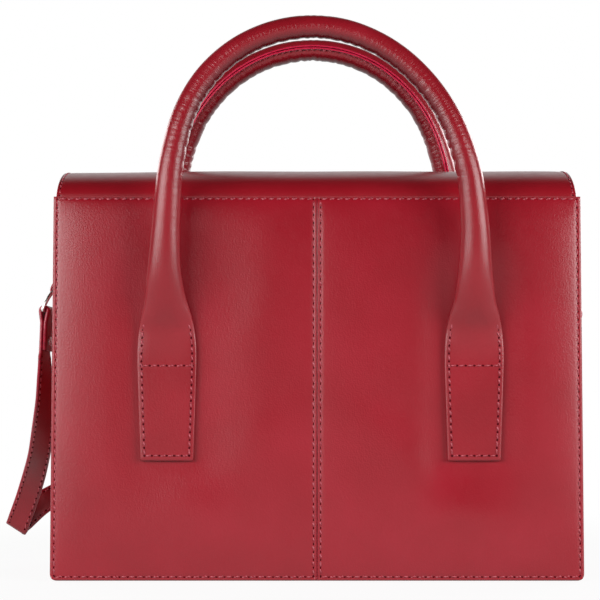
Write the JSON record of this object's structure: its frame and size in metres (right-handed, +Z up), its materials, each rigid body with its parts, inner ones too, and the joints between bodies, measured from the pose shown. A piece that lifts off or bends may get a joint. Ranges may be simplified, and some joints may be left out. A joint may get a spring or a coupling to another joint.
{
  "type": "leather satchel",
  "caption": "Structured red leather satchel with a short magnetic flap over the mouth, rolled grab handles front and back and a shoulder strap on pivoting side tabs.",
  "frame": {"origin": "centre of the base's underside, on the surface that the bag stands on", "axes": "+Z up, +X to the right as the back is seen, +Y from the back with the flap seam to the front"},
  "size_m": [0.3932, 0.2431, 0.3603],
  "materials": {
    "panel_leather": "semi-matt grain",
    "trim_leather": "semi-matt grain",
    "board": "fibreboard",
    "lining": "woven",
    "chrome": "polished",
    "magnet": "plain",
    "core_cord": "cotton cord"
  },
  "bodies": {
    "body": {"back_panel_left": "panel_leather", "back_panel_right": "panel_leather", "front_panel": "panel_leather", "left_gusset": "panel_leather", "right_gusset": "panel_leather", "base_panel": "panel_leather", "back_seam_tape": "trim_leather", "flap_root": "trim_leather", "back_handle_tab_left": "trim_leather", "back_handle_tab_right": "trim_leather", "front_handle_tab_left": "trim_leather", "front_handle_tab_right": "trim_leather", "back_stiffener": "board", "front_stiffener": "board", "base_board": "board", "back_lining": "lining", "front_lining": "lining", "left_gusset_lining": "lining", "right_gusset_lining": "lining", "base_lining": "lining", "left_tab_pivot": "chrome", "right_tab_pivot": "chrome", "front_magnet": "magnet"},
    "flap": {"flap_leather": "panel_leather", "flap_stiffener": "board", "flap_lining": "trim_leather", "flap_magnet": "magnet"},
    "back_handle": {"back_handle_cover": "trim_leather", "back_handle_core": "core_cord"},
    "front_handle": {"front_handle_cover": "trim_leather", "front_handle_core": "core_cord"},
    "strap": {"strap": "panel_leather", "left_side_tab": "trim_leather", "right_side_tab": "trim_leather", "left_ring": "chrome", "right_ring": "chrome", "left_strap_rivet": "chrome", "right_strap_rivet": "chrome"}
  },
  "joints": [
    {"name": "flap_hinge", "type": "hinge", "parent": "body", "child": "flap", "pos_m": [0, -0.055, 0.2462], "axis": [1, 0, 0], "range_deg": [0, 70]},
    {"name": "back_handle_fold", "type": "hinge", "parent": "body", "child": "back_handle", "pos_m": [0, -0.0588, 0.168], "axis": [1, 0, 0], "range_deg": [0, 75], "stiffness_Nm_per_rad": 0.6, "springref_deg": -2.86},
    {"name": "front_handle_fold", "type": "hinge", "parent": "body", "child": "front_handle", "pos_m": [0, 0.0588, 0.168], "axis": [-1, 0, 0], "range_deg": [0, 75], "stiffness_Nm_per_rad": 0.6, "springref_deg": -2.86},
    {"name": "strap_swing", "type": "hinge", "parent": "body", "child": "strap", "pos_m": [0, 0, 0.203], "axis": [1, 0, 0], "range_deg": [0, 135]}
  ]
}
